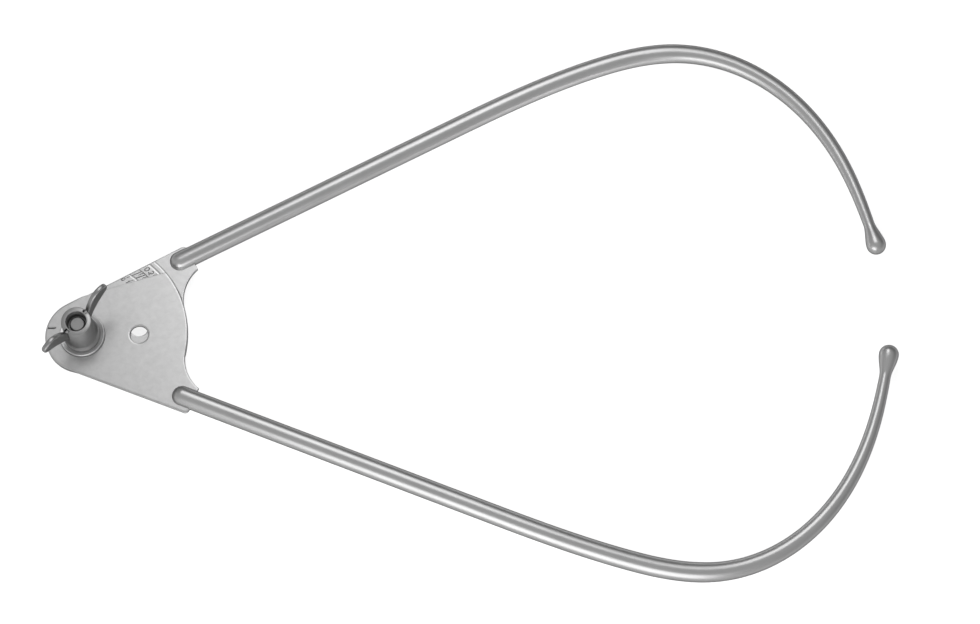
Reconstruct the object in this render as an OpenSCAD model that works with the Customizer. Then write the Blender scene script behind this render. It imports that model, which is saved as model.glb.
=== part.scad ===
// Surgical caliper of the pelvimeter pattern. Two sector plates turn on one bolt. Each plate carries a
// long bowed arm with a button tip, and a wing nut locks the opening.
// Millimetres and degrees. The origin is on the pivot axis, under the bolt head. X runs along the
// instrument to the tips, Y across it towards the rear arm, and Z up towards the wing nut.
// "Rear" is the lower plate with the scale, and "front" is the upper plate with the index edge.

/* [Plates] */
// Thickness of each plate
plate_t = 1.6; // [1.2:0.1:2]
// Radius of the round end about the pivot
round_r = 15.3; // [13:0.1:16]
// Radius of the far arc about the pivot
arc_r = 42.9; // [40:0.1:48]
// Direction of the rear plate's hidden edge
rear_hidden_edge = -18; // [-22:1:-12]
// Direction of the front plate's blank before its index edge is cut
front_blank_edge = 25; // [20:1:30]
// Direction of the index edge
index_angle = 14; // [10:0.5:18]
// Distance of the index edge from the pivot
index_offset = 16.4; // [16:0.1:18]
// Diameter of the hanging hole in each plate
hole_d = 7.4; // [5:0.1:9]
// Distance of the hanging holes from the pivot
hole_reach = 23.1; // [20:0.1:28]
// Direction of the front plate's hole
front_hole_angle = -2.1; // [-6:0.1:2]
// Direction of the rear plate's hole
rear_hole_angle = 6.4; // [2:0.1:10]

/* [Ears] */
// Length of an ear past the centre of the arm's round end
ear_len = 5; // [3:0.1:8]
// Rear ear beside the arm on the outer side, from the arm's axis
rear_ear_outer = 5.2; // [4.5:0.1:7]
// Rear ear beside the arm on the inner side, from the arm's axis
rear_ear_inner = 6.6; // [4.5:0.1:7]
// Front ear beside the arm on the outer side, from the arm's axis
front_ear_outer = 6.2; // [4.5:0.1:7]
// Front ear beside the arm on the inner side, from the arm's axis
front_ear_inner = 5.4; // [4.5:0.1:7]
// Radius of the ear's outer corner
ear_corner_r = 1.8; // [0.5:0.1:3]
// Radius of the hollow between the far arc and the ear
ear_hollow_r = 17.5; // [14:0.5:22]

/* [Arms] */
// Diameter of the arms' shanks
rod_d = 8.2; // [7:0.1:9]
// Diameter at the end of the taper, where the button begins
neck_d = 4.7; // [3.6:0.1:5.4]
// Length before the button's centre over which the rod tapers
taper_len = 132; // [100:1:160]

/* [Rear arm] */
// Clear gap between the far arc and the round end
rear_gap = 3.6; // [1:0.1:5]
// Direction from the pivot to the round end
rear_root_angle = 37.3; // [34:0.1:40]
// Direction of the shank
rear_shank_angle = 24.5; // [20:0.1:28]
// Straight length of the shank
rear_straight_len = 123.3; // [110:0.1:150]
// Length over which the shank eases into its sweep
rear_sweep_len = 71.4; // [50:0.1:90]
// Radius at the end of the sweep
rear_sweep_r = 234.7; // [150:0.1:400]
// Length from the sweep to the knee
rear_knee_len = 35.2; // [15:0.1:50]
// Tightest radius, at the knee
rear_knee_r = 61.4; // [50:0.1:80]
// Length of the forearm past the knee
rear_forearm_len = 89.9; // [70:0.1:120]
// Radius at the end of the forearm
rear_forearm_r = 118.7; // [100:0.1:200]
// Length over which the forearm straightens to the button's centre
rear_run_len = 36.9; // [30:0.1:50]

/* [Front arm] */
// Clear gap between the far arc and the round end
front_gap = 2; // [1:0.1:5]
// Direction from the pivot to the round end
front_root_angle = -34.9; // [-38:0.1:-32]
// Direction of the shank
front_shank_angle = -24.5; // [-28:0.1:-20]
// Straight length of the shank
front_straight_len = 129.1; // [110:0.1:150]
// Length over which the shank eases into its sweep
front_sweep_len = 62.5; // [50:0.1:90]
// Radius at the end of the sweep
front_sweep_r = 332.8; // [150:0.1:400]
// Length from the sweep to the knee
front_knee_len = 39; // [15:0.1:50]
// Tightest radius, at the knee
front_knee_r = 57.1; // [50:0.1:80]
// Length of the forearm past the knee
front_forearm_len = 97; // [70:0.1:120]
// Radius at the end of the forearm
front_forearm_r = 156.9; // [100:0.1:200]
// Length over which the forearm straightens to the button's centre
front_run_len = 25.8; // [12:0.1:50]

/* [Button tips] */
// Diameter of the ball
ball_d = 8.1; // [6.5:0.1:9]
// Length of the flare, from the neck to the ball's centre
flare_len = 9.7; // [6:0.1:12]

/* [Pivot] */
// Diameter of the bolt head
head_d = 13; // [11:0.1:16]
// Chamfer round the bolt head
head_chamfer = 0.8; // [0.3:0.1:1.2]
// Side of the square neck that keeps the bolt from turning in the rear plate
neck_side = 7; // [6.5:0.1:8]
// Diameter of the journal that the front plate turns on
journal_d = 7; // [6.5:0.1:8]
// Diameter of the screw
screw_d = 6; // [5:0.1:6.2]
// Radial clearance of a running fit
running_fit = 0.05; // [0.02:0.01:0.09]
// Height by which the journal stays below the front plate's face
journal_relief = 0.1; // [0.05:0.05:0.3]
// Chamfer on the end of the screw
screw_chamfer = 0.4; // [0.2:0.1:0.8]

/* [Pressure washer] */
// Diameter of the pressure washer
washer_d = 18.6; // [17:0.1:20]
// Thickness of the pressure washer where the nut sits
washer_t = 1.5; // [1:0.1:2.5]
// Width of the raised rim
rim_w = 0.8; // [0.5:0.1:1]
// Height of the raised rim above the seat
rim_h = 0.25; // [0.1:0.05:0.4]
// Radial clearance of the washer on the screw
washer_fit = 0.15; // [0.1:0.05:0.25]

/* [Wing nut] */
// Height of the boss
boss_h = 16.9; // [14:0.1:20]
// Diameter of the boss at its top ring
boss_top_d = 12.2; // [11.4:0.1:13]
// Diameter of the boss above its flared foot
boss_waist_d = 13.4; // [13:0.1:14]
// Diameter of the flared foot
boss_foot_d = 14.9; // [14.6:0.1:16]
// Height of the flared foot
boss_foot_h = 3.4; // [2:0.1:5]
// Chamfer round the top ring
boss_chamfer = 0.35; // [0.2:0.05:0.6]
// Diameter of the counterbore round the end of the screw
mouth_d = 8; // [7:0.1:8.4]
// Depth of the counterbore
mouth_depth = 4.5; // [3.5:0.1:6]
// Depth of the screw's end below the top ring
screw_depth = 3.3; // [1:0.1:3.5]
// Direction of the wings at rest
wing_angle = 46.5; // [0:0.5:90]
// Thickness of a wing
wing_t = 2; // [1.6:0.1:2.6]
// Height on the boss at which a wing's slot begins
slot_floor = 8.4; // [6:0.1:10]
// Depth of a wing's slot below the top ring's outer edge
slot_depth = 1.4; // [0.8:0.1:1.6]
// Reach of a wing from the axis
wing_reach = 18.4; // [16:0.1:21]
// Height of the centre of a wing's round tip above the top ring
wing_tip_rise = 4; // [2:0.1:6]
// Radius of a wing's round tip
wing_tip_r = 2.6; // [2:0.1:3]
// Steepness at which a wing leaves the boss
wing_lift = 66; // [60:1:72]
// Half of the angle that a wing's round tip spans
wing_hook = 62; // [55:1:68]
// Depth of a wing's root below the top ring
wing_notch = 0.8; // [0.3:0.1:1.2]

/* [Hidden] */
round_fn = 96;
arm_sides = 24;
arm_step = 5;
eps = 0.01;

// Levels along the pivot. The bolt head is flush with the underside of the rear arm.
head_t = rod_d / 2 - plate_t / 2;
rear_z = head_t;
front_z = rear_z + plate_t;
washer_z = front_z + plate_t;
nut_z = washer_z + washer_t;
screw_end_z = nut_z + boss_h - screw_depth;

// Stations and curvatures along each arm, from the centre of its round end to the centre of its button
rear_bend = [[0, 0], [rear_straight_len, 0], [rear_sweep_len, 1 / rear_sweep_r], [rear_knee_len, 1 / rear_knee_r],
    [rear_forearm_len, 1 / rear_forearm_r], [rear_run_len, 0]];
front_bend = [[0, 0], [front_straight_len, 0], [front_sweep_len, 1 / front_sweep_r],
    [front_knee_len, 1 / front_knee_r], [front_forearm_len, 1 / front_forearm_r], [front_run_len, 0]];

function at(r, a) = [r * cos(a), r * sin(a)];
function along(p, a, d) = p + at(d, a);
function polar(p) = atan2(p[1], p[0]);
rear_root = at(arc_r + rear_gap + rod_d / 2, rear_root_angle);
front_root = at(arc_r + front_gap + rod_d / 2, -front_root_angle);

// Bend of an arm: curvature is linear between the stations, so its integral is the turn so far
function station(bend, i) = i < 1 ? 0 : bend[i][0] + station(bend, i - 1);
function arm_len(bend) = station(bend, len(bend) - 1);
function ramp(s, a, b, ka, kb) =
    let (t = max(0, min(s, b) - a)) ka * t + (kb - ka) * t * t / (2 * (b - a));
function turned(s, bend, i = 1) = i == len(bend) ? 0 : turned(s, bend, i + 1)
    + ramp(s, station(bend, i - 1), station(bend, i), bend[i - 1][1], bend[i][1]) * 180 / PI;
function heading(s, shank, bend) = shank - turned(s, bend);
function stride(s, d, shank, bend) =
    (at(1, heading(s, shank, bend)) + 4 * at(1, heading(s + d / 2, shank, bend))
     + at(1, heading(s + d, shank, bend))) * d / 6;
function centreline(root, shank, bend, end) =
    let (straight = bend[1][0], n = ceil((end - straight) / arm_step), d = (end - straight) / n)
    [for (i = 0, p = along(root, shank, straight); i <= n;
          p = p + stride(straight + i * d, d, shank, bend), i = i + 1) [straight + i * d, p]];
function rod_r(s, end) =
    (rod_d - (rod_d - neck_d) * max(0, s - (end + flare_len - taper_len)) / (taper_len - flare_len)) / 2;

// Corner b between a and c, rounded to radius r
function rounded(a, b, c, r) =
    let (u = (a - b) / norm(a - b), v = (c - b) / norm(c - b), half = acos(u * v) / 2,
         centre = b + (u + v) / norm(u + v) * r / sin(half),
         from = polar(b + u * r / tan(half) - centre), to = polar(b + v * r / tan(half) - centre),
         sweep = (to - from + 540) % 360 - 180)
    [for (i = [0 : 6]) along(centre, from + sweep * i / 6, r)];

// One plate as seen with its arm on the upper side
module sector(root, shank, inner_edge, ear_outer, ear_inner) {
    outer_corner = along(along(root, shank, ear_len), shank + 90, ear_outer);
    inner_corner = along(along(root, shank, ear_len), shank - 90, ear_inner);
    outer_touch = at(round_r, polar(outer_corner) + acos(round_r / norm(outer_corner)));
    outer_edge = polar(outer_corner - outer_touch);
    inner_touch = at(round_r, inner_edge - 90);
    hollow_reach = arc_r + ear_hollow_r;
    hollow_angle = polar(inner_corner) - acos((pow(hollow_reach, 2) + pow(norm(inner_corner), 2)
        - pow(ear_hollow_r, 2)) / (2 * hollow_reach * norm(inner_corner)));
    difference() {
        union() {
            circle(r = round_r, $fn = round_fn);
            intersection() {
                circle(r = arc_r, $fn = round_fn);
                polygon([[0, 0], inner_touch, along(inner_touch, inner_edge, 2 * arc_r),
                         along(outer_touch, outer_edge, 2 * arc_r), outer_touch]);
            }
            polygon(concat([[0, 0], at(arc_r - eps, hollow_angle), inner_corner],
                rounded(inner_corner, outer_corner, outer_touch, ear_corner_r), [outer_touch]));
        }
        translate(at(hollow_reach, hollow_angle)) circle(r = ear_hollow_r, $fn = round_fn);
    }
}

// Arm swept along its centreline with a round end, and slotted to straddle the ear
module arm(root, shank, bend) {
    end = arm_len(bend) - flare_len;
    cap = [for (a = [15 : 15 : 75]) [-cos(a) * rod_d / 2, sin(a) * rod_d / 2]];
    rings = concat([for (c = cap) [along(root, shank, c[0]), shank, c[1]]],
        [[root, shank, rod_d / 2]],
        [for (c = centreline(root, shank, bend, end)) [c[1], heading(c[0], shank, bend), rod_r(c[0], end)]]);
    n = arm_sides;
    last = len(rings) - 1;
    pole = along(root, shank, -rod_d / 2);
    points = concat([[pole[0], pole[1], 0]],
        [for (g = rings, i = [0 : n - 1])
            let (a = 360 * (i + 0.5) / n, p = along(g[0], g[1] + 90, g[2] * cos(a)))
            [p[0], p[1], g[2] * sin(a)]]);
    faces = concat([for (i = [0 : n - 1]) [0, 1 + i, 1 + (i + 1) % n]],
        [for (k = [0 : last - 1], i = [0 : n - 1])
            [1 + k * n + i, 1 + (k + 1) * n + i, 1 + (k + 1) * n + (i + 1) % n]],
        [for (k = [0 : last - 1], i = [0 : n - 1])
            [1 + k * n + i, 1 + (k + 1) * n + (i + 1) % n, 1 + k * n + (i + 1) % n]],
        [[for (i = [n - 1 : -1 : 0]) 1 + last * n + i]]);
    difference() {
        polyhedron(points = points, faces = faces);
        translate([root[0], root[1], 0]) rotate([0, 0, shank])
            translate([-rod_d, -rod_d, -plate_t / 2]) cube([rod_d + ear_len, 2 * rod_d, plate_t]);
    }
}

// Button: the rod swells from its neck in an S-curve, level at both ends, into a ball
module button(root, shank, bend) {
    total = arm_len(bend);
    centre = centreline(root, shank, bend, total);
    neck_r = neck_d / 2;
    swell = ball_d / 2 - neck_r;
    translate(concat(centre[len(centre) - 1][1], 0)) rotate([0, 90, heading(total, shank, bend)]) {
        sphere(d = ball_d, $fn = round_fn);
        rotate_extrude($fn = round_fn)
            polygon(concat([[0, -flare_len]], [for (t = [0 : 0.1 : 1])
                [neck_r + swell * t * t * (3 - 2 * t), flare_len * (t - 1)]], [[0, 0]]));
    }
}

module rear_plate() color("silver")
    translate([0, 0, rear_z]) linear_extrude(plate_t) difference() {
        sector(rear_root, rear_shank_angle, rear_hidden_edge, rear_ear_outer, rear_ear_inner);
        square(neck_side, center = true);
        translate(at(hole_reach, rear_hole_angle)) circle(d = hole_d, $fn = round_fn);
    }

module front_plate() color("gainsboro")
    translate([0, 0, front_z]) linear_extrude(plate_t) difference() {
        mirror([0, 1]) sector(front_root, -front_shank_angle, -front_blank_edge,
                              front_ear_outer, front_ear_inner);
        rotate(index_angle) translate([-arc_r, index_offset]) square([3 * arc_r, arc_r]);
        circle(d = journal_d + 2 * running_fit, $fn = round_fn);
        translate(at(hole_reach, front_hole_angle)) circle(d = hole_d, $fn = round_fn);
    }

module rear_arm() color("lightsteelblue")
    translate([0, 0, rear_z + plate_t / 2]) arm(rear_root, rear_shank_angle, rear_bend);

module front_arm() color("lightblue")
    translate([0, 0, front_z + plate_t / 2]) mirror([0, 1, 0])
        arm(front_root, -front_shank_angle, front_bend);

module rear_button() color("steelblue")
    translate([0, 0, rear_z + plate_t / 2]) button(rear_root, rear_shank_angle, rear_bend);

module front_button() color("steelblue")
    translate([0, 0, front_z + plate_t / 2]) mirror([0, 1, 0])
        button(front_root, -front_shank_angle, front_bend);

// Bolt from the back: flat head, square neck in the rear plate, journal in the front plate, screw
module pivot_bolt() color("dimgray") {
    cylinder(h = head_chamfer, d1 = head_d - 2 * head_chamfer, d2 = head_d, $fn = round_fn);
    translate([0, 0, head_chamfer]) cylinder(h = head_t - head_chamfer, d = head_d, $fn = round_fn);
    translate([-neck_side / 2, -neck_side / 2, head_t - eps]) cube([neck_side, neck_side, plate_t + eps]);
    translate([0, 0, front_z - eps])
        cylinder(h = plate_t - journal_relief + eps, d = journal_d, $fn = round_fn);
    translate([0, 0, front_z]) cylinder(h = screw_end_z - screw_chamfer - front_z, d = screw_d, $fn = round_fn);
    translate([0, 0, screw_end_z - screw_chamfer])
        cylinder(h = screw_chamfer, d1 = screw_d, d2 = screw_d - 2 * screw_chamfer, $fn = round_fn);
}

// Washer with a raised, rounded rim
module pressure_washer() color("gray") {
    outer = washer_d / 2;
    top = washer_t + rim_h;
    translate([0, 0, washer_z]) rotate_extrude($fn = round_fn)
        polygon(concat([[screw_d / 2 + washer_fit, 0], [outer, 0]],
            [for (a = [0 : 15 : 180])
                [outer - rim_w / 2 + rim_w / 2 * cos(a), top - rim_w / 2 + rim_w / 2 * sin(a)]],
            [[outer - rim_w, washer_t], [screw_d / 2 + washer_fit, washer_t]]));
}

// Boss turned to a bell, bored for the screw, with a counterbore and two slots for the wings
function boss_r(w) = (boss_waist_d + (boss_top_d - boss_waist_d)
    * (w - boss_foot_h) / (boss_h - boss_chamfer - boss_foot_h)) / 2;
foot_edge = boss_foot_h - (boss_foot_d - boss_waist_d);
foot_flare = boss_foot_h - foot_edge;

module nut_boss() color("darkgray") translate([0, 0, nut_z]) difference() {
    rotate_extrude($fn = round_fn)
        polygon(concat([[0, 0], [boss_foot_d / 2, 0]],
            [for (a = [0 : 10 : 90])
                [boss_waist_d / 2 + (boss_foot_d - boss_waist_d) / 2 * (1 - sin(a)),
                 foot_edge + foot_flare * (1 - cos(a))]],
            [[boss_top_d / 2, boss_h - boss_chamfer], [boss_top_d / 2 - boss_chamfer, boss_h], [0, boss_h]]));
    translate([0, 0, -eps]) cylinder(h = boss_h, d = screw_d + 2 * running_fit, $fn = round_fn);
    translate([0, 0, boss_h - mouth_depth]) cylinder(h = mouth_depth + eps, d = mouth_d, $fn = round_fn);
    for (a = [0, 180]) rotate(wing_angle + a) translate([slot_reach, -wing_t / 2, slot_floor])
        cube([boss_foot_d, wing_t, boss_h]);
}

// Wing: an upright blade that leaves the boss at a steep angle and bends over into a round tip
slot_reach = boss_top_d / 2 - slot_depth;
function bezier(a, b, c) = [for (t = [0 : 0.1 : 1]) (1 - t) * (1 - t) * a + 2 * t * (1 - t) * b + t * t * c];
function crossing(p, a, q, b) = along(p, a, ((q - p) * at(1, b + 90)) / cos(b + 90 - a));

module wing(turn) {
    tip = [wing_reach - wing_tip_r, boss_h + wing_tip_rise];
    back_root = [boss_top_d / 2, boss_h - wing_notch];
    belly_root = [boss_r(slot_floor), slot_floor];
    back_tip = along(tip, wing_hook, wing_tip_r);
    belly_tip = along(tip, -wing_hook, wing_tip_r);
    back_pull = crossing(back_root, wing_lift, back_tip, wing_hook + 90);
    belly_pull = crossing(belly_root, wing_lift, belly_tip, 90 - wing_hook);
    translate([0, 0, nut_z]) rotate([90, 0, wing_angle + turn])
        linear_extrude(wing_t, center = true)
            polygon(concat([[slot_reach, slot_floor]], bezier(belly_root, belly_pull, belly_tip),
                [for (i = [1 : 7]) along(tip, wing_hook * (i / 4 - 1), wing_tip_r)],
                bezier(back_tip, back_pull, back_root), [[slot_reach, boss_h - wing_notch]]));
}

module wing_left() color("dimgray") wing(180);
module wing_right() color("dimgray") wing(0);

rear_plate();
front_plate();
rear_arm();
front_arm();
rear_button();
front_button();
pivot_bolt();
pressure_washer();
nut_boss();
wing_left();
wing_right();
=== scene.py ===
import math

import bmesh
import bpy
import numpy as np
from mathutils import Matrix, Vector
from mathutils.geometry import delaunay_2d_cdt


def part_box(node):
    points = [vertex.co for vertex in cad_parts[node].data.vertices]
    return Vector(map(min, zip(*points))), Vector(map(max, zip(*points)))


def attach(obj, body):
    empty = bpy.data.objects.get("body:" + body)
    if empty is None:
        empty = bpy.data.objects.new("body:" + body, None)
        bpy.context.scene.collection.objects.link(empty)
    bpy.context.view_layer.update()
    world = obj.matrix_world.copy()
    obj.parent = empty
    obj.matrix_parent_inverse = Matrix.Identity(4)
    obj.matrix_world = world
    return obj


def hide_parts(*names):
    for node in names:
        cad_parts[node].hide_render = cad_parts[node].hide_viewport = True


# Surgical caliper: satin steel plates with an engraved scale, polished arms and a turned wing nut.
# Lengths are in millimetres and angles in degrees until a mesh is made, which is in metres.
# "Rear" is the lower plate with the scale, "front" is the upper one with the index edge.
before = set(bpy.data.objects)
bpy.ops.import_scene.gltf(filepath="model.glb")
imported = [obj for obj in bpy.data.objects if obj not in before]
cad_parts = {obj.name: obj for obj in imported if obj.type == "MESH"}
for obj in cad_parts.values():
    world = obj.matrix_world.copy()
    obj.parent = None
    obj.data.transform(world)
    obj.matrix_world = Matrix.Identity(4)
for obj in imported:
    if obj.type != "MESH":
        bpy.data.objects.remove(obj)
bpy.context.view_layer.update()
MM = 0.001


def level(node, top):
    """Height of a node's lowest or highest point, in millimetres."""
    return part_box(node)[1 if top else 0].z / MM


# Levels along the pivot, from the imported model
rear_z, front_z = level("rear_plate", False), level("front_plate", False)
front_top_z = level("front_plate", True)
washer_z, nut_z, ring_z = level("pressure_washer", False), level("nut_boss", False), level("nut_boss", True)
screw_end_z = level("pivot_bolt", True)
plate_t = front_top_z - front_z
rod_r = (level("rear_arm", True) - level("rear_arm", False)) / 2

# Plates
round_r = 15.3
arc_r = 42.9
rear_hidden_edge = -18
front_blank_edge = 25
index_angle = 14
index_offset = 16.4
hole_r = 3.7
hole_reach = 23.1
front_hole_angle = -2.1
rear_hole_angle = 6.4
ear_len = 5
rear_ear_outer = 5.2
rear_ear_inner = 6.6
front_ear_outer = 6.2
front_ear_inner = 5.4
ear_corner_r = 1.8
ear_hollow_r = 17.5
plate_edge_r = 0.22
square_edge_w = 0.22
rear_edge_w = 0.4
soft_edge_w = 0.75
soft_edge_drop = 0.24
setting_mark = ((-14, 4.05), (-11.2, 3.9))
setting_mark_w = 1
setting_mark_depth = 0.9

# Arms: the place of each round end, the shank's direction, then the lengths from the round end over the
# straight shank, the sweep, the knee and the forearm to the button's centre, and the radii between them
rear_root_r, rear_root_angle, rear_shank_angle = 50.6, 37.3, 24.5
rear_bend_lengths = (123.3, 71.4, 35.2, 89.9, 36.9)
rear_bend_radii = (234.7, 61.4, 118.7)
front_root_r, front_root_angle, front_shank_angle = 49, -34.9, -24.5
front_bend_lengths = (129.1, 62.5, 39, 97, 25.8)
front_bend_radii = (332.8, 57.1, 156.9)
neck_r = 2.35
ball_r = 4.05
flare_len = 9.7
taper_len = 132
shank_step = 6
bow_stations = 130
braze_w = 0.2
braze_root = 0.6
braze_bite = 0.1
braze_inset = 0.15

# Pivot
centre_r = 0.5
head_r = 6.5
head_edge = 0.8
head_rounding = (0.25, 0.3)
head_top_edge = 0.15
neck_half = 3.5
neck_corner_r = 0.5
journal_r = 3.5
journal_relief = 0.1
running_fit = 0.05
screw_r = 3
screw_chamfer = 0.4
thread_pitch = 1
thread_depth = 0.55
washer_r = 9.3
washer_t = 1.5
rim_w = 0.8
rim_h = 0.25
dish_in = 0.1
dish_out = 0.5
dish_h = 0.05
washer_fit = 0.15
tool_edge = 0.2

# Wing nut
boss_top_r = 6.1
boss_waist_r = 6.7
boss_foot_r = 7.45
boss_foot_h = 3.4
boss_h = ring_z - nut_z
boss_chamfer = 0.35
boss_ring_edge = (0.1, 0.12)
bore_chamfer = 0.3
mouth_r = 4
mouth_depth = 4.5
mouth_edge = 0.3
mouth_lip = 0.1
mouth_funnel = 0.25
mouth_funnel_h = 1.6
seat_gap = 0.02
wing_angle = 46.5
wing_half = 1
wing_edge_r = 0.6
slot_floor = 8.4
slot_reach = boss_top_r - 1.4
wing_reach = 18.4
wing_tip_rise = 4
wing_tip_r = 2.6
wing_lift = 66
wing_hook = 62
wing_notch = 0.8

# Scale: rings about the pivot, and the law that turns an opening of the tips into an angle. A ring is
# (radius, width, depth), a line (width, depth) and a number (height, width, depth).
inner_ring_r = 32.2
middle_ring_r = 36.4
outer_ring_r = 40.6
scale_rings = ((inner_ring_r, 1.2, 0.13), (middle_ring_r, 0.35, 0.2), (outer_ring_r, 1.3, 0.14))
rub_ring = (arc_r - 0.1, 1, 0.07)
ring_overrun = 3
ring_step = 1.2
even_line, even_line_start = (0.4, 0.26), inner_ring_r + 0.5
odd_line, odd_line_start = (0.3, 0.2), inner_ring_r + 2.2
line_end = middle_ring_r - 0.3
centimetre_number, centimetre_number_r = (2.2, 0.4, 0.28), (middle_ring_r + outer_ring_r) / 2
inch = 25.4
inch_line_start, inch_line_end = inner_ring_r - 1.6, inner_ring_r - 0.5
inch_number, inch_number_r = (1.7, 0.34, 0.24), inner_ring_r - 2.9
digit_w = 0.6
digit_advance = 0.78
scale_end = 40
inches_end = 15
tip_reach = 329.42
ball_d = 2 * ball_r
rest_gap = 40.23
edge_margin = 0.45

# What all the steels share: standing edges that are smoother, and brighter partly from handling polish and
# partly as a painted highlight, and the tint at a grazing view
edge_gain = 0.06
edge_polish = 0.08
rim_tint = (0.15, 0.15, 0.15, 1)

# Stage: the view, the paper, the grey room's light and the lamps. Lamps are (name, place, width, height,
# brightness, whether only the paper is lit by it and nothing mirrors it).
focal_px = 2700
picture_width_px = 980
sensor_width = 36
camera_place = (147.42, -350.07, 1056.75)
camera_tilt = 18.5
camera_roll = 3.19
paper_tone = (0.5, 0.54)
paper_seen = 0.8
paper_mirrored = 0.1
paper_drop = 0.2
paper_half = 2500
room_middle = 0.3
room_to_right = -0.1
room_to_back = -0.15
room_above = 0.38
ceiling_from = 0.5
aim = (150, 0, 0)
lamps = (
    ("high lamp at the back", (160, 420, 700), 400, 560, 1.1, False),
    ("low lamp in front", (80, -360, 130), 400, 250, 1.05, False),
    ("paper lamp in front", (-450, -1100, 480), 500, 300, 20, True),
    ("paper lamp at the back", (60, 420, 160), 200, 100, 12, True),
    ("paper lamp in the rear bow", (262, 48, 55), 30, 30, 30, True),
)


def at(r, a):
    """Point at distance r in direction a, or an array of such points."""
    a = np.radians(a)
    return np.stack([r * np.cos(a), r * np.sin(a)], -1)


def polar(p):
    """Direction of a point from the pivot."""
    return math.degrees(math.atan2(p[1], p[0]))


def arc(centre, r, start, end, step=0.8):
    """Points on an arc from direction start to direction end, about step apart."""
    n = max(3, int(abs(math.radians(end - start)) * r / step) + 1)
    return np.asarray(centre) + at(r, np.linspace(start, end, n))


def bezier(a, b, c, points=17):
    """Points on the quadratic curve from a to c that is pulled towards b."""
    t = np.linspace(0, 1, points)[:, None]
    return (1 - t) ** 2 * a + 2 * t * (1 - t) * b + t ** 2 * c


# Meshes from arrays

def new_piece(name, points, faces, smooth=None, flat_from=None):
    """Object at the origin from points in millimetres and faces, with its doubles merged and its faces
    turned outwards. Edges below the angle smooth are shaded smooth, and faces from flat_from on flat."""
    mesh = bpy.data.meshes.new(name)
    mesh.from_pydata((np.asarray(points, float) * MM).tolist(), [], [list(map(int, f)) for f in faces])
    if smooth is not None:
        mesh.polygons.foreach_set("use_smooth", np.arange(len(faces)) < (flat_from or len(faces)))
    shell = bmesh.new()
    shell.from_mesh(mesh)
    bmesh.ops.remove_doubles(shell, verts=shell.verts, dist=1e-7)
    bmesh.ops.dissolve_degenerate(shell, edges=shell.edges, dist=1e-8)
    bmesh.ops.recalc_face_normals(shell, faces=shell.faces)
    shell.to_mesh(mesh)
    shell.free()
    obj = bpy.data.objects.new(name, mesh)
    bpy.context.scene.collection.objects.link(obj)
    if smooth is not None:
        rounded = np.zeros(len(mesh.polygons), bool)
        mesh.polygons.foreach_get("use_smooth", rounded)
        mesh.set_sharp_from_angle(angle=math.radians(smooth))
        mesh.polygons.foreach_set("use_smooth", rounded)
    return obj


def shade_smooth(obj, angle):
    """Smooth shading everywhere but across edges sharper than an angle in degrees."""
    obj.data.polygons.foreach_set("use_smooth", np.ones(len(obj.data.polygons), bool))
    obj.data.set_sharp_from_angle(angle=math.radians(angle))


def grid_faces(rows, columns, close_rows=False, close_columns=True, first=0):
    """Quads between neighbours on a grid of rows by columns, numbered row after row."""
    i = np.arange(rows if close_rows else rows - 1)[:, None]
    j = np.arange(columns if close_columns else columns - 1)[None, :]
    i2, j2 = (i + 1) % rows, (j + 1) % columns
    quads = np.stack([i * columns + j, i2 * columns + j, i2 * columns + j2, i * columns + j2], -1)
    return (quads.reshape(-1, 4) + first).tolist()


def closed_rings(name, rings, smooth=30):
    """Skin over a stack of rings, each an array of points, closed by a fan at either end."""
    rings = np.asarray(rings)
    rows, columns = rings.shape[:2]
    points = np.vstack([rings.reshape(-1, 3), rings[0].mean(0), rings[-1].mean(0)])
    faces = grid_faces(rows, columns)
    j = np.arange(columns)
    start, end = rows * columns, rows * columns + 1
    faces += np.stack([j, (j + 1) % columns, np.full(columns, start)], 1).tolist()
    faces += np.stack([j + (rows - 1) * columns, (j + 1) % columns + (rows - 1) * columns,
                       np.full(columns, end)], 1).tolist()
    return new_piece(name, points, faces, smooth)


def lathe(name, profile, sides=128, smooth=30):
    """A closed profile of (radius, height) points turned about the pivot axis."""
    profile = np.asarray(profile, float)
    turn = np.linspace(0, 360, sides, endpoint=False)
    ring = at(profile[:, :1], turn[None, :])
    points = np.concatenate([ring, np.broadcast_to(profile[:, 1:, None], ring.shape[:2] + (1,))], -1)
    return new_piece(name, points.reshape(-1, 3), grid_faces(len(profile), sides, close_rows=True), smooth)


def without(obj, *cutters):
    """The object after each cutter is taken out of it. The cutters are removed."""
    for cutter in cutters:
        cut = obj.modifiers.new("cut", "BOOLEAN")
        cut.object = cutter
        cut.operation = "DIFFERENCE"
        cut.solver = "EXACT"
        graph = bpy.context.evaluated_depsgraph_get()
        mesh = bpy.data.meshes.new_from_object(obj.evaluated_get(graph))
        obj.modifiers.clear()
        old, obj.data = obj.data, mesh
        bpy.data.meshes.remove(old)
        bpy.data.objects.remove(cutter)
    obj.data.name = obj.name
    return obj


def block(x0, x1, y0, y1, z0, z1, turn=0, centre=(0, 0)):
    """A cutter: a box turned about the vertical through centre."""
    foot = ((x0, y0), (x1, y0), (x1, y1), (x0, y1))
    corners = np.array([(x, y, z) for z in (z0, z1) for x, y in foot], float)
    c, s = math.cos(math.radians(turn)), math.sin(math.radians(turn))
    turned = corners.copy()
    turned[:, 0] = centre[0] + c * corners[:, 0] - s * corners[:, 1]
    turned[:, 1] = centre[1] + s * corners[:, 0] + c * corners[:, 1]
    faces = [(0, 1, 2, 3), (4, 5, 6, 7), (0, 1, 5, 4), (1, 2, 6, 5), (2, 3, 7, 6), (3, 0, 4, 7)]
    return new_piece("cutter", turned, faces)


# Flat plates with rounded edges and cut marks

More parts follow.
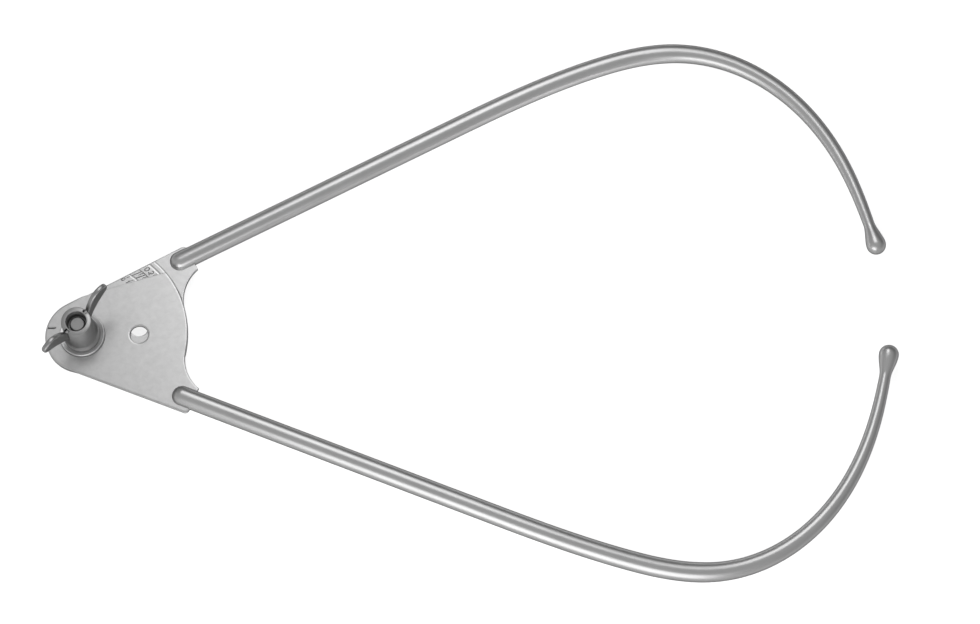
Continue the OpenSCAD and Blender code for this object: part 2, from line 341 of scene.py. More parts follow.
def inset(loop, d):
    """Each point of a closed loop moved to its left, so that both edges at it move by d, which may be one
    distance or one for each point."""
    d = np.reshape(d, (-1, 1))
    step = np.roll(loop, -1, 0) - loop
    left = np.stack([-step[:, 1], step[:, 0]], 1) / np.linalg.norm(step, axis=1)[:, None]
    before = np.roll(left, 1, 0)
    return loop + d * (left + before) / (1 + (left * before).sum(1))[:, None]


def inside(points, loop):
    """Whether each point lies in a closed loop: a ray to the right crosses its edges an odd number of
    times."""
    a, b = loop[None], np.roll(loop, -1, 0)[None]
    p = points[:, None]
    crosses = (a[..., 1] > p[..., 1]) != (b[..., 1] > p[..., 1])
    with np.errstate(divide="ignore", invalid="ignore"):
        x = a[..., 0] + (p[..., 1] - a[..., 1]) * (b[..., 0] - a[..., 0]) / (b[..., 1] - a[..., 1])
    return (crosses & (p[..., 0] < x)).sum(1) % 2 == 1


def mark_edges(mark):
    """A mark's path, and the outline that goes round it at half its width and comes to a point at both
    ends."""
    path, width, _ = mark
    step = np.gradient(path, axis=0)
    step /= np.linalg.norm(step, axis=1)[:, None]
    left = np.stack([-step[:, 1], step[:, 0]], 1) * width / 2
    start, end = path[:1] - step[:1] * width / 2, path[-1:] + step[-1:] * width / 2
    return [path, np.vstack([start, path - left, end, (path + left)[::-1], start])]


def mark_depth(points, marks):
    """Depth of the V-shaped marks at each point: full on a mark's path, and none at half its width."""
    depth = np.zeros(len(points))
    for path, width, deep in marks:
        a, b = path[None, :-1], path[None, 1:]
        along = ((points[:, None] - a) * (b - a)).sum(-1) / ((b - a) ** 2).sum(-1)
        near = a + np.clip(along, 0, 1)[..., None] * (b - a)
        away = np.linalg.norm(points[:, None] - near, axis=-1).min(1)
        depth = np.maximum(depth, deep * np.clip(1 - away / (width / 2), 0, 1))
    return depth


def cap(loops, marks=()):
    """Triangles that fill the first loop outside the others, with the marks' lines as edges."""
    points, edges = [], []
    for lines, closed in ((loops, True), ([line for m in marks for line in mark_edges(m)], False)):
        for line in lines:
            n, first = len(line), len(points)
            points += line.tolist()
            edges += [(first + i, first + (i + 1) % n) for i in range(n if closed else n - 1)]
    found, _, faces, *_ = delaunay_2d_cdt(points, edges, [], 0, 1e-5, False)
    found, faces = np.array([tuple(p) for p in found]), np.array([tuple(f) for f in faces])
    middle = found[faces].mean(1)
    keep = inside(middle, loops[0])
    for hole in loops[1:]:
        keep &= ~inside(middle, hole)
    return found, faces[keep]


def slab(name, loops, low, high, edge_r, marks=(), place=None, smooth=40, soft=None):
    """A plate between two levels: each loop is carried up a profile with rounded corners, where the first
    loop runs counter-clockwise and holes clockwise, and caps close it. The upper corner is a quarter of an
    ellipse: soft gives each loop's width, one for all points or one for each, and the drop, which
    are edge_r if it isn't given. place maps its points to the frame."""
    widths, drop = soft or ([edge_r] * len(loops), edge_r)
    turn = np.radians(np.linspace(0, 90, 4))
    upper_turn = np.radians(np.linspace(0, 90, 7)) if soft else turn
    points, faces, small = np.zeros((0, 3)), [], []
    for loop, width in zip(loops, widths):
        rows = [(edge_r * (1 - math.cos(a)), low + edge_r * (1 - math.sin(a))) for a in turn[::-1]]
        width = np.asarray(width)
        rows += [(width * (1 - math.cos(a)), high - drop * (1 - math.sin(a))) for a in upper_turn]
        rows = [np.column_stack([inset(loop, d), np.full(len(loop), z)]) for d, z in rows]
        faces += grid_faces(len(rows), len(loop), first=len(points))
        points = np.vstack([points] + rows)
        small.append((inset(loop, edge_r), inset(loop, width)))
    caps_from = len(faces)
    for which, z, cuts in ((0, low, ()), (1, high, marks)):
        flat, triangles = cap([pair[which] for pair in small], cuts)
        heights = z - mark_depth(flat, cuts) if len(cuts) else np.full(len(flat), z)
        faces += (triangles + len(points)).tolist()
        points = np.vstack([points, np.column_stack([flat, heights])])
    if place is not None:
        points = place(points)
    return new_piece(name, points, faces, smooth, caps_from)


def sector(root, shank, inner_edge, ear_outer, ear_inner):
    """Outline of a plate with its arm on the upper side, counter-clockwise: the round end about the pivot,
    the straight inner edge, the far arc, the hollow beside the ear, the ear and the outer edge."""
    outer = root + at(ear_len, shank) + at(ear_outer, shank + 90)
    inner = root + at(ear_len, shank) + at(ear_inner, shank - 90)
    outer_touch = polar(outer) + math.degrees(math.acos(round_r / np.linalg.norm(outer)))
    reach, far = arc_r + ear_hollow_r, np.linalg.norm(inner)
    hollow = polar(inner) - math.degrees(math.acos((reach ** 2 + far ** 2 - ear_hollow_r ** 2)
                                                   / (2 * reach * far)))
    centre = at(reach, hollow)
    edge_end = inner_edge - 90 + math.degrees(math.acos(round_r / arc_r))
    corner = rounded_corner(inner, outer, at(round_r, outer_touch), ear_corner_r)
    return np.vstack([
        arc((0, 0), round_r, outer_touch, inner_edge - 90 + 360),
        arc((0, 0), arc_r, edge_end, hollow),
        arc(centre, ear_hollow_r, hollow + 180, polar(inner - centre) % 360)[1:],
        corner,
    ])


def rounded_corner(a, b, c, r, points=7):
    """Arc of radius r that replaces corner b between a and c, tangent to both edges."""
    u, v = (a - b) / np.linalg.norm(a - b), (c - b) / np.linalg.norm(c - b)
    half = math.acos(u @ v) / 2
    centre = b + (u + v) / np.linalg.norm(u + v) * r / math.sin(half)
    start, end = polar(b + u * r / math.tan(half) - centre), polar(b + v * r / math.tan(half) - centre)
    return centre + at(r, start + ((end - start + 540) % 360 - 180) * np.linspace(0, 1, points))


def cut_by_line(loop, direction, offset):
    """What is left of a closed loop on the right of a line with that direction, offset from the pivot."""
    side = loop @ at(1, direction + 90) - offset
    first = int(np.argmax((side <= 0) & (np.roll(side, 1) > 0)))
    loop, side = np.roll(loop, -first, 0), np.roll(side, -first)
    last = int(np.argmax(side > 0)) - 1
    enter = loop[-1] + (loop[0] - loop[-1]) * side[-1] / (side[-1] - side[0])
    leave = loop[last] + (loop[last + 1] - loop[last]) * side[last] / (side[last] - side[last + 1])
    return np.vstack([enter, loop[:last + 1], leave])


def round_hole(centre, r, points=72):
    """A hole's loop, clockwise."""
    return np.asarray(centre) + at(r, -np.linspace(0, 360, points, endpoint=False))


rear_root = at(rear_root_r, rear_root_angle)
front_root = at(front_root_r, front_root_angle)


# The scale

def index_turn(gap):
    """Angle by which the front plate has turned from rest when the tips stand gap millimetres apart: the
    ball centres are the ends of a chord of the circle that they travel on."""
    return math.degrees(2 * (math.asin((gap + ball_d) / (2 * tip_reach))
                             - math.asin((rest_gap + ball_d) / (2 * tip_reach))))


def index_point(gap, r):
    """Point at distance r from the pivot on the line where the index edge lies at that gap, with the
    direction of that line."""
    a = index_angle - index_turn(gap)
    return at(index_offset, a + 90) + at(math.sqrt(r * r - index_offset ** 2), a), a


def line(*points):
    """A stroke of straight parts in a digit's box."""
    return np.array(points, float)


def stroke_arc(x, y, rx, ry, start, end, points=7):
    """Part of an ellipse in a digit's box."""
    a = np.radians(np.linspace(start, end, points))
    return np.stack([x + rx * np.cos(a), y + ry * np.sin(a)], 1)


def digit_strokes(digit):
    """Plain engraver's digits, as strokes in a box digit_w wide and 1 high."""
    return {
        "0": [stroke_arc(0.3, 0.5, 0.27, 0.48, 90, 445, 15)],
        "1": [line((0.12, 0.76), (0.34, 0.98), (0.34, 0.02))],
        "2": [np.vstack([stroke_arc(0.3, 0.71, 0.26, 0.27, 165, -35),
                         line((0.05, 0.03), (0.57, 0.03))])],
        "3": [np.vstack([stroke_arc(0.28, 0.75, 0.24, 0.22, 150, -70),
                         stroke_arc(0.29, 0.27, 0.27, 0.25, 72, -150)])],
        "4": [line((0.42, 0.02), (0.42, 0.98), (0.03, 0.3), (0.58, 0.3))],
        "5": [np.vstack([line((0.52, 0.97), (0.12, 0.97), (0.09, 0.55)),
                         stroke_arc(0.28, 0.32, 0.28, 0.3, 110, -150)])],
        "6": [np.vstack([line((0.46, 0.97)), stroke_arc(0.3, 0.3, 0.26, 0.28, 150, 500, 14)])],
        "7": [line((0.04, 0.97), (0.56, 0.97), (0.22, 0.02))],
        "8": [stroke_arc(0.3, 0.74, 0.22, 0.23, 90, 445, 12),
              stroke_arc(0.3, 0.26, 0.26, 0.25, 90, 445, 12)],
        "9": [np.vstack([stroke_arc(0.3, 0.7, 0.26, 0.28, -30, 320, 14), line((0.14, 0.03))])],
    }[digit]


def number_marks(text, middle, up, height, width, depth):
    """Marks of a number centred on a point, whose digits stand in the direction up."""
    advance = digit_advance * height
    right, top = at(1, up - 90), at(1, up)
    start = middle - top * height / 2 - right * (advance * (len(text) - 1) + digit_w * height) / 2
    return [(start + right * (advance * i) + (stroke * height) @ np.stack([right, top]), width, depth)
            for i, digit in enumerate(text) for stroke in digit_strokes(digit)]


def division(gap, start, end, cut):
    """Mark between two distances from the pivot, where the index edge lies at that gap."""
    return (np.array([index_point(gap, start)[0], index_point(gap, end)[0]]), *cut)


def scale_marks():
    """Rings, division lines tangent to the index edge's circle, and plain numbers every 2 centimetres.
    Inside the inner ring is a second row, in inches. The shallow outermost ring is where the front
    plate's far edge rubs."""
    low = polar(index_point(10 * scale_end, middle_ring_r)[0]) - ring_overrun
    outer_edge = edge_direction()
    marks = []
    for r, width, depth in (*scale_rings, rub_ring):
        high = outer_edge + math.degrees(math.asin((round_r - edge_margin) / r))
        marks.append((arc((0, 0), r, low, high, ring_step), width, depth))
    for centimetre in range(scale_end + 1):
        if centimetre % 2 == 0:
            marks.append(division(10 * centimetre, even_line_start, line_end, even_line))
            middle, up = index_point(10 * centimetre, centimetre_number_r)
            marks += number_marks(str(centimetre), middle, up, *centimetre_number)
        else:
            marks.append(division(10 * centimetre, odd_line_start, line_end, odd_line))
    for number in range(inches_end + 1):
        marks.append(division(inch * number, inch_line_start, inch_line_end, odd_line))
        middle, up = index_point(inch * number, inch_number_r)
        marks += number_marks(str(number), middle, up, *inch_number)
    return marks


def edge_direction():
    """Direction of the rear plate's outer edge, from the round end to the ear."""
    outer = rear_root + at(ear_len, rear_shank_angle) + at(rear_ear_outer, rear_shank_angle + 90)
    touch = polar(outer) + math.degrees(math.acos(round_r / np.linalg.norm(outer)))
    return polar(outer - at(round_r, touch))


def make_rear_plate():
    """Rear plate: its sector with the bolt's square hole, the hanging hole and the engraved scale."""
    corners = np.array([(1, 1), (1, -1), (-1, -1), (-1, 1)]) * neck_half
    loops = [sector(rear_root, rear_shank_angle, rear_hidden_edge, rear_ear_outer, rear_ear_inner), corners,
             round_hole(at(hole_reach, rear_hole_angle), hole_r)]
    return slab("rear_plate_steel", loops, rear_z, rear_z + plate_t, plate_edge_r, scale_marks(),
                soft=([rear_edge_w, square_edge_w, rear_edge_w], plate_edge_r))


def make_front_plate():
    """Front plate: a mirrored sector cut back along the index edge, with the pivot's hole, the hanging
    hole and a short setting mark on the round end."""
    loop = sector(front_root * (1, -1), -front_shank_angle, -front_blank_edge, front_ear_outer,
                  front_ear_inner)
    loop = cut_by_line((loop * (1, -1))[::-1], index_angle, index_offset)
    loops = [loop, round_hole((0, 0), journal_r + running_fit),
             round_hole(at(hole_reach, front_hole_angle), hole_r)]
    widths = np.full(len(loop), soft_edge_w)
    widths[[0, -1]] = square_edge_w
    marks = [(np.array(setting_mark), setting_mark_w, setting_mark_depth)]
    return slab("front_plate_steel", loops, front_z, front_top_z, plate_edge_r, marks,
                soft=([widths, square_edge_w, soft_edge_w], soft_edge_drop))


# Arms

class Path:
    """Centreline of an arm in its mid-plane. Curvature is linear between stations, its integral is the
    heading, and the integral of the heading's direction is the place. It goes straight on past its ends."""

    def __init__(self, root, shank, lengths, radii, side):
        step = 0.2
        stations = np.cumsum((0,) + lengths)
        self.straight, self.length = lengths[0], stations[-1]
        self.s = np.linspace(0, self.length, int(self.length / step))
        bend = np.interp(self.s, stations, [0, 0] + [1 / r for r in radii] + [0])
        self.turn = -side * self.summed(bend)
        self.heading = math.radians(shank) + self.turn
        self.x = root[0] + self.summed(np.cos(self.heading))
        self.y = root[1] + self.summed(np.sin(self.heading))

    def summed(self, value):
        """Integral of a value along the path, by trapezia."""
        steps = (value[1:] + value[:-1]) / 2 * np.diff(self.s)
        return np.concatenate([[0], np.cumsum(steps)])

    def at(self, s):
        """Place and heading at stations s, carried straight on before the start and past the end."""
        s = np.asarray(s, float)
        heading = np.interp(s, self.s, self.heading)
        over = s - np.clip(s, 0, self.length)
        x = np.interp(s, self.s, self.x) + over * np.cos(heading)
        y = np.interp(s, self.s, self.y) + over * np.sin(heading)
        return x, y, heading


def rod_rings(path, mid_z, stations, radii, sides=64):
    """Rings round a path: at each station a circle of that radius, square to the path."""
    x, y, heading = (v[:, None] for v in path.at(stations))
    turn = np.linspace(0, 2 * np.pi, sides, endpoint=False)[None, :]
    r = np.asarray(radii)[:, None]
    out = r * np.cos(turn)
    return np.stack([x - np.sin(heading) * out, y + np.cos(heading) * out,
                     mid_z + r * np.sin(turn) + 0 * x], -1)


def grain_along(obj, path, mid_z):
    """Stores on each point its station along the path and its place round the rod, in metres, for the
    polishing grain that follows the arm."""
    co = np.zeros(len(obj.data.vertices) * 3, np.float32)
    obj.data.vertices.foreach_get("co", co)
    p = co.reshape(-1, 3).astype(float) / MM
    s = np.linspace(-rod_r, path.length + ball_r, 1500)
    x, y, heading = path.at(s)
    nearest = np.concatenate([((part[:, None, 0] - x) ** 2 + (part[:, None, 1] - y) ** 2).argmin(1)
                              for part in np.array_split(p, 1 + len(p) // 2000)])
    x, y, heading = x[nearest], y[nearest], heading[nearest]
    across = (p[:, 1] - y) * np.cos(heading) - (p[:, 0] - x) * np.sin(heading)
    value = np.stack([s[nearest], across, p[:, 2] - mid_z], 1) * MM
    grain = obj.data.attributes.new("grain", "FLOAT_VECTOR", "POINT")
    grain.data.foreach_set("vector", value.astype(np.float32).ravel())


def make_arm(name, path, mid_z):
    """An arm: a round end, a straight shank and the bow, tapered to the neck, slotted over the ear."""
    end = path.length - flare_len
    turn = np.radians(np.linspace(4, 90, 12))
    stations = np.concatenate([-rod_r * np.cos(turn), np.arange(4, path.straight, shank_step),
                               np.linspace(path.straight, end, bow_stations)])
    taper = np.clip((stations - (end + flare_len - taper_len)) / (taper_len - flare_len), 0, 1)
    radii = rod_r - (rod_r - neck_r) * taper
    radii[:len(turn)] = rod_r * np.sin(turn)
    arm = closed_rings(name, rod_rings(path, mid_z, stations, radii))
    x, y, heading = (float(v) for v in path.at(0))
    arm = without(arm, block(-2 * rod_r, ear_len, -2 * rod_r, 2 * rod_r, mid_z - plate_t / 2,
                             mid_z + plate_t / 2, math.degrees(heading), (x, y)))
    shade_smooth(arm, 30)
    grain_along(arm, path, mid_z)
    return arm


def make_button(name, path, mid_z):
    """A button: the rod swells from the neck in an S-curve, level at both ends, into a half ball."""
    t = np.linspace(0, 1, 22)
    swelling = neck_r + (ball_r - neck_r) * t * t * (3 - 2 * t)
    turn = np.linspace(90, 2, 16)[1:]
    stations = path.length + np.concatenate([flare_len * (t - 1), at(ball_r, turn)[:, 0]])
    radii = np.concatenate([swelling, at(ball_r, turn)[:, 1]])
    button = closed_rings(name, rod_rings(path, mid_z, stations, radii))
    grain_along(button, path, mid_z)
    return button


def make_braze(name, path, mid_z):
    """Braze along both faces of the ear: a concave profile carried round the rod's foot and its round
    end."""
    x, y, heading = (float(v) for v in path.at(0))
    ahead = np.array([math.cos(heading), math.sin(heading)])
    left = np.array([-math.sin(heading), math.cos(heading)])
    turn = np.radians(np.linspace(90, 270, 25))
    out = np.outer(np.sin(turn), left) + np.outer(np.cos(turn), ahead)
    run = np.linspace(ear_len - braze_inset, 0, 8)[:-1]
    out_run, back_run = np.outer(run, ahead), np.outer(run[::-1], ahead)
    foot = np.array([x, y]) + np.vstack([out_run, np.zeros_like(out), back_run])
    out = np.vstack([np.tile(left, (len(run), 1)), out, np.tile(-left, (len(run), 1))])
    low, high = plate_t / 2, plate_t / 2 + braze_w
    seat, top = math.sqrt(rod_r ** 2 - low ** 2), math.sqrt(rod_r ** 2 - high ** 2)
    curve = bezier(np.array([seat + braze_w, low]), np.array([seat, low]), np.array([top, high]), 7)
    section = np.vstack([curve, [(seat - braze_root, high), (seat - braze_root, low - braze_bite),
                                 (seat + braze_w, low - braze_bite)]])
    points, faces = np.zeros((0, 3)), []
    for side in (1, -1):
        flat = foot[:, None] + out[:, None] * section[None, :, :1]
        heights = np.broadcast_to(mid_z + side * section[None, :, 1:], flat.shape[:2] + (1,))
        rows, columns = flat.shape[:2]
        first = len(points)
        start, end = np.arange(columns) + first, np.arange(columns) + first + (rows - 1) * columns
        faces += grid_faces(rows, columns, first=first) + [start.tolist(), end.tolist()]
        points = np.vstack([points, np.concatenate([flat, heights], -1).reshape(-1, 3)])
    return new_piece(name, points, faces, 50)


# Pivot and wing nut

def make_bolt(sides=96):
    """The bolt as one stack of rings: chamfered head, square neck, journal, and a screw whose radius
    follows a triangle wave of the height less the turn, which is the thread."""
    turn = np.linspace(0, 360, sides, endpoint=False)
    c, s = np.abs(np.cos(np.radians(turn))), np.abs(np.sin(np.radians(turn)))
    square = np.minimum(neck_half / np.maximum(c, s), neck_half * math.sqrt(2) - neck_corner_r)
    rounding_h, rounding_w = head_rounding
    steps = [(0, centre_r), (0, head_r - head_edge), (rounding_h, head_r - rounding_w), (head_edge, head_r),
             (rear_z - head_top_edge, head_r), (rear_z, head_r - head_top_edge), (rear_z, square),
             (front_z, square), (front_z, journal_r), (front_top_z - journal_relief, journal_r),
             (front_top_z - journal_relief, screw_r)]
    heights = np.arange(washer_z + tool_edge, screw_end_z - screw_chamfer, thread_pitch / 8)
    for z in heights:
        wave = np.abs(((z / thread_pitch - turn / 360) % 1) * 2 - 1)
        fade = min(1, (z - heights[0]) / thread_pitch, (heights[-1] - z) / thread_pitch)
        steps.append((z, screw_r - thread_depth * fade * wave))
    steps += [(screw_end_z - screw_chamfer, screw_r), (screw_end_z, screw_r - screw_chamfer),
              (screw_end_z, centre_r)]
    rings = [np.column_stack([at(r + 0 * turn, turn), np.full(sides, z)]) for z, r in steps]
    return closed_rings("pivot_bolt_steel", rings, 30)


def make_washer():
    """Washer: a flat seat that rises in a shallow dish to a rounded rim."""
    inner, outer, top = screw_r + washer_fit, washer_r, washer_z + washer_t + rim_h
    a = np.linspace(0, 105, 9)
    rim = np.array([outer - rim_w / 2, top - rim_w / 2]) + at(rim_w / 2, a)
    seat = washer_z + washer_t
    dish = [(boss_foot_r + dish_out, seat + dish_h), (boss_foot_r + dish_in, seat)]
    under = [(inner + tool_edge, washer_z), (outer - tool_edge, washer_z), (outer, washer_z + tool_edge)]
    bore = [(inner + tool_edge, seat), (inner, seat - tool_edge), (inner, washer_z + tool_edge)]
    profile = np.vstack([under, rim, dish, bore])
    return lathe("pressure_washer_steel", profile, smooth=40)


def boss_r(w):
    """Radius of the boss's cone at height w above its foot."""
    share = (w - boss_foot_h) / (boss_h - boss_chamfer - boss_foot_h)
    return boss_waist_r + (boss_top_r - boss_waist_r) * share


def make_boss():
    """Boss: a foot whose flare grows with the square of the depth, a slightly tapered body, a ring with
    broken edges, and a mouth that narrows round the screw's end."""
    t = np.linspace(0, 1, 9)
    flare = boss_foot_r - boss_waist_r
    foot = np.stack([boss_waist_r + flare * (1 - t) ** 2, tool_edge + (boss_foot_h - tool_edge) * t], 1)
    bore, narrow = screw_r + running_fit, mouth_r - mouth_funnel
    floor = boss_h - mouth_depth
    edge_in, edge_down = boss_ring_edge
    under = [(bore + bore_chamfer, seat_gap), (boss_foot_r - edge_in, seat_gap)]
    ring = [(boss_r(boss_h - boss_chamfer), boss_h - boss_chamfer),
            (boss_top_r - edge_in, boss_h - edge_down), (boss_top_r - boss_chamfer, boss_h)]
    mouth = [(mouth_r + mouth_edge, boss_h), (mouth_r + mouth_lip, boss_h - mouth_edge),
             (narrow, boss_h - mouth_funnel_h), (narrow, floor), (bore + tool_edge, floor)]
    profile = np.vstack([under, foot, ring, mouth, [(bore, floor - tool_edge), (bore, bore_chamfer)]])
    boss = lathe("nut_boss_steel", profile + np.array([0, nut_z]))
    for side in (0, 180):
        cutter = block(slot_reach, 2 * boss_foot_r, -wing_half, wing_half, nut_z + slot_floor,
                       nut_z + 2 * boss_h, wing_angle + side)
        boss = without(boss, cutter)
    shade_smooth(boss, 30)
    return boss


def crossing(p, a, q, b):
    """Where the line through p in direction a meets the line through q in direction b."""
    return p + at(((q - p) @ at(1, b + 90)) / math.cos(math.radians(b + 90 - a)), a)


def make_wing(name, turn):
    """A wing: an upright blade that leaves the boss steeply and bends over into a round tip, with its
    outline carried over rounded edges."""
    tip = np.array([wing_reach - wing_tip_r, boss_h + wing_tip_rise])
    back_root = np.array([boss_top_r, boss_h - wing_notch])
    belly_root = np.array([boss_r(slot_floor), slot_floor])
    back_tip, belly_tip = tip + at(wing_tip_r, wing_hook), tip + at(wing_tip_r, -wing_hook)
    back_pull = crossing(back_root, wing_lift, back_tip, wing_hook + 90)
    belly_pull = crossing(belly_root, wing_lift, belly_tip, 90 - wing_hook)
    loop = np.vstack([[(slot_reach, slot_floor)], bezier(belly_root, belly_pull, belly_tip),
                      arc(tip, wing_tip_r, -wing_hook, wing_hook, 0.4)[1:-1],
                      bezier(back_tip, back_pull, back_root), [(slot_reach, boss_h - wing_notch)]])
    out = at(1, wing_angle + turn)
    across = np.array([-out[1], out[0]])

    def place(p):
        """A point of the blade's plane and thickness, set upright at the wing's direction."""
        flat = p[:, :1] * out + p[:, 2:] * across
        return np.column_stack([flat, p[:, 1] + nut_z])

    return slab(name, [loop], -wing_half, wing_half, wing_edge_r, place=place, smooth=50)


# Shader nodes

def add_node(tree, kind, inputs=(), **settings):
    """A new node. settings are its own properties. Each input is a plain value, or a socket to link."""
    made = tree.nodes.new(kind)
    for name, value in settings.items():
        setattr(made, name, value)
    for socket, value in dict(inputs).items():
        if isinstance(value, bpy.types.NodeSocket):
            tree.links.new(value, made.inputs[socket])
        else:
            made.inputs[socket].default_value = value
    return made


def new_group(name, inputs, outputs):
    """An empty shader group with named inputs, given with their start values, and named outputs."""
    tree = bpy.data.node_groups.new(name, "ShaderNodeTree")
    for label, value in inputs.items():
        kind = "NodeSocketVector" if value is None else "NodeSocketFloat"
        socket = tree.interface.new_socket(label, in_out="INPUT", socket_type=kind)
        if value is not None:
            socket.default_value = value
    for label in outputs:
        tree.interface.new_socket(label, in_out="OUTPUT", socket_type="NodeSocketFloat")
    return tree, tree.nodes.new("NodeGroupInput").outputs, tree.nodes.new("NodeGroupOutput")


def grain_group():
    """Polishing grain: noise drawn out along the first coordinate. Streak is 0 to 1 about 0.5."""
    tree, given, out = new_group("polishing grain", {"Position": None, "Along": 60, "Across": 3000},
                                 ["Streak"])
    stretch = add_node(tree, "ShaderNodeCombineXYZ", {"X": given["Along"], "Y": given["Across"],
                                                      "Z": given["Across"]})
    drawn = add_node(tree, "ShaderNodeVectorMath", {0: given["Position"], 1: stretch.outputs[0]},
                     operation="MULTIPLY")
    noise = add_node(tree, "ShaderNodeTexNoise", {"Vector": drawn.outputs[0], "Scale": 1.0, "Detail": 4.0,
                                                  "Roughness": 0.6})
    tree.links.new(noise.outputs["Fac"], out.inputs["Streak"])
    return tree


def turning_group():
    """Lathe lines: noise that changes only with the distance from the pivot axis and with the height."""
    tree, given, out = new_group("turning lines", {"Position": None, "Fineness": 4000}, ["Streak"])
    part = add_node(tree, "ShaderNodeSeparateXYZ", {0: given["Position"]})
    flat = add_node(tree, "ShaderNodeCombineXYZ", {"X": part.outputs["X"], "Y": part.outputs["Y"]})
    radius = add_node(tree, "ShaderNodeVectorMath", {0: flat.outputs[0]}, operation="LENGTH")
    ring = add_node(tree, "ShaderNodeCombineXYZ", {"X": radius.outputs["Value"], "Y": part.outputs["Z"]})
    noise = add_node(tree, "ShaderNodeTexNoise", {"Vector": ring.outputs[0], "Scale": given["Fineness"],
                                                  "Detail": 2.0, "Roughness": 0.7})
    tree.links.new(noise.outputs["Fac"], out.inputs["Streak"])
    return tree


def corner_group():
    """Masks from how much of the near space is filled outside and inside the surface: Crevice is 1 deep in
    a corner, where the steels paint shade into their colour, and Edge is 1 on a standing edge, where they
    are smoother, and brighter partly from handling polish and partly as a painted highlight."""
    tree, given, out = new_group("corners and edges", {"Reach": 0.0012}, ["Crevice", "Edge"])
    # Crevice drives painted shade in corners. Edge drives brighter edges, which are partly a painted
    # highlight.
    for label, within, low, high in (("Crevice", False, 0.9, 0.35), ("Edge", True, 0.55, 0.9)):
        hidden = add_node(tree, "ShaderNodeAmbientOcclusion", {"Distance": given["Reach"]}, inside=within,
                          samples=8, only_local=within)
        mask = add_node(tree, "ShaderNodeMapRange", {"Value": hidden.outputs["AO"], "From Min": low,
                                                     "From Max": high}, interpolation_type="SMOOTHSTEP")
        tree.links.new(mask.outputs["Result"], out.inputs[label])
    return tree


def blotch_group():
    """Cloudy patches left by hand polishing and handling, 0 to 1 about 0.5."""
    tree, given, out = new_group("handling patches", {"Position": None, "Size": 90}, ["Patch"])
    noise = add_node(tree, "ShaderNodeTexNoise", {"Vector": given["Position"], "Scale": given["Size"],
                                                  "Detail": 3.0, "Roughness": 0.55, "Distortion": 0.4})
    tree.links.new(noise.outputs["Fac"], out.inputs["Patch"])
    return tree


groups = {make: make() for make in (grain_group, turning_group, corner_group, blotch_group)}


def use_group(tree, make, **inputs):
    """A shared group placed in a material with its own values."""
    placed = tree.nodes.new("ShaderNodeGroup")
    placed.node_tree = groups[make]
    for socket, value in inputs.items():
        if isinstance(value, bpy.types.NodeSocket):
            tree.links.new(value, placed.inputs[socket])
        else:
            placed.inputs[socket].default_value = value
    return placed.outputs


def mixed(tree, factor, low, high):
    """A value that runs from low to high as the factor runs from 0 to 1."""
    return add_node(tree, "ShaderNodeMapRange", {"Value": factor, "To Min": low, "To Max": high}).outputs[0]


def steel(name, tone, roughness, streaks, patch_size, streak_depth, patch_depth, dark, reach, wear_and_sheen=1):
    """A metal shader. tone is a (low, high) range over the handling patches, and roughness one over the
    streaks, which come from the function streaks. The depths in metres are those of the bump. dark is the
    tone's share that is left in corners as painted shade, reach is how far in metres a corner is painted
    dark, and the last argument is how much brighter and smoother the standing edges are: smoother from
    handling polish, and brighter partly from handling polish and partly as a painted highlight."""
    material = bpy.data.materials.new(name)
    material.use_nodes = True
    tree = material.node_tree
    shader = tree.nodes["Principled BSDF"]
    shader.inputs["Metallic"].default_value = 1.0
    shader.inputs["Specular Tint"].default_value = rim_tint
    position = tree.nodes.new("ShaderNodeTexCoord").outputs["Object"]
    streak = streaks(tree, position)
    patch = use_group(tree, blotch_group, Position=position, Size=patch_size)["Patch"]
    corner = use_group(tree, corner_group, Reach=reach)
    plain = mixed(tree, patch, *tone)
    # Standing edges are made brighter in colour, partly handling polish and partly a painted highlight.
    tone_with_edge_sheen = add_node(tree, "ShaderNodeMath", {0: corner["Edge"], 1: edge_gain * wear_and_sheen, 2: plain},
                    operation="MULTIPLY_ADD")
    # Painted shade: corners and crevices are darkened down to dark times the low tone.
    shaded = add_node(tree, "ShaderNodeMapRange", {"Value": corner["Crevice"], "To Min": tone_with_edge_sheen.outputs[0],
                                                   "To Max": dark * tone[0]})
    colour = add_node(tree, "ShaderNodeCombineColor", {channel: shaded.outputs[0]
                                                       for channel in ("Red", "Green", "Blue")})
    tree.links.new(colour.outputs[0], shader.inputs["Base Color"])
    rough = add_node(tree, "ShaderNodeMath", {0: streak, 1: roughness[1] - roughness[0], 2: roughness[0]},
                     operation="MULTIPLY_ADD")
    smoothed = add_node(tree, "ShaderNodeMath", {0: corner["Edge"], 1: -edge_polish * wear_and_sheen,
                                                 2: rough.outputs[0]}, operation="MULTIPLY_ADD")
    tree.links.new(smoothed.outputs[0], shader.inputs["Roughness"])
    fine = add_node(tree, "ShaderNodeMath", {0: streak, 1: streak_depth}, operation="MULTIPLY")
    height = add_node(tree, "ShaderNodeMath", {0: patch, 1: patch_depth, 2: fine.outputs[0]},
                      operation="MULTIPLY_ADD")
    bump = add_node(tree, "ShaderNodeBump", {"Strength": 1.0, "Distance": 1.0, "Height": height.outputs[0]})
    tree.links.new(bump.outputs[0], shader.inputs["Normal"])
    return material


def plate_finish():
    """Blasted satin: fine even grain, light tone, with painted shade in the cut marks and corners, and
    brighter edges that are partly a painted highlight.
    """
    def streaks(tree, position):
        return use_group(tree, grain_group, Position=position, Along=2500, Across=4500)["Streak"]
    return steel("satin plate steel", (0.67, 0.86), (0.34, 0.46), streaks, patch_size=420,
                 streak_depth=3.5e-6, patch_depth=8e-6, dark=0.38, reach=0.00035)


